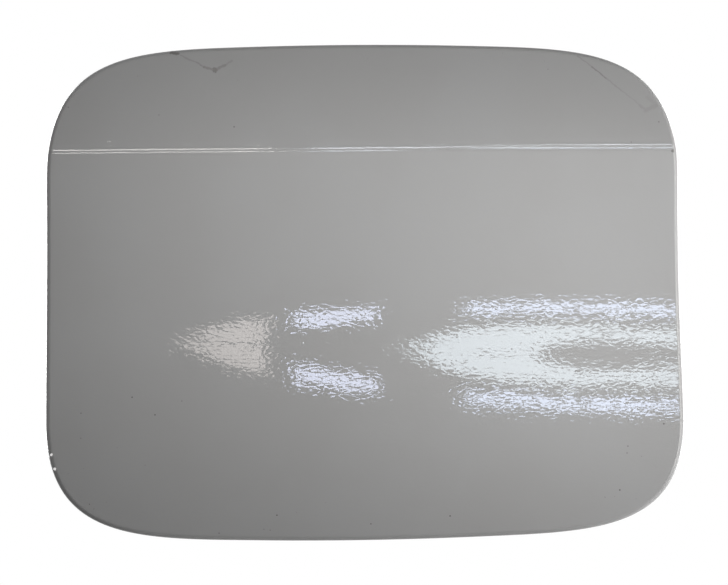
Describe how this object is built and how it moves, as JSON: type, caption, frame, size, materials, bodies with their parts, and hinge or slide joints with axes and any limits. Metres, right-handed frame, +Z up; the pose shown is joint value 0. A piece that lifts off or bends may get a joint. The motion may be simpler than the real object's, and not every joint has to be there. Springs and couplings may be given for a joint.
{
  "type": "car fuel door",
  "caption": "Car fuel door: painted panel with a crease line and a hemmed edge, stamped inner pan, spring hinge, lock eye, cap holder and rubber buffers.",
  "frame": {"origin": "middle of the hinge base's two screw holes, on the face that meets the car", "axes": "+X along the car from the hinge towards the lock, +Y into the car, +Z up"},
  "size_m": [0.1772, 0.0389, 0.1372],
  "materials": {
    "body_paint": "light grey gloss paint under clear coat, lightly scratched and chipped",
    "inner_paint": "the same light grey, satin, without clear coat",
    "seam_sealer": "soft seam sealer, painted over in light grey",
    "hinge_coat": "black dip coat, satin",
    "zinc_steel": "zinc plated steel",
    "pin_steel": "turned steel",
    "spring_steel": "drawn spring wire, oiled",
    "bush_nylon": "natural nylon",
    "black_plastic": "moulded black plastic, fine grain",
    "buffer_rubber": "moulded black rubber"
  },
  "bodies": {
    "base": {"hinge_base": "hinge_coat", "hinge_pin": "pin_steel", "pin_ring": "pin_steel", "washer_upper": "zinc_steel", "washer_lower": "zinc_steel", "spring_sleeve": "bush_nylon", "torsion_spring": "spring_steel"},
    "door": {"outer_panel": "body_paint", "inner_panel": "inner_paint", "hem_sealer": "seam_sealer", "hinge_leaf": "hinge_coat", "leaf_rivets": "zinc_steel", "bush_upper": "bush_nylon", "bush_lower": "bush_nylon", "lock_eye": "zinc_steel", "lock_eye_rivets": "zinc_steel", "cap_holder": "black_plastic", "buffer_upper": "buffer_rubber", "buffer_lower": "buffer_rubber", "drain_plugs": "black_plastic"}
  },
  "joints": [
    {"name": "door_hinge", "type": "hinge", "parent": "base", "child": "door", "pos_m": [-0.036, -0.0226, 0], "axis": [0, 0, -1], "range_deg": [0, 95], "deforming": ["torsion_spring"]}
  ]
}
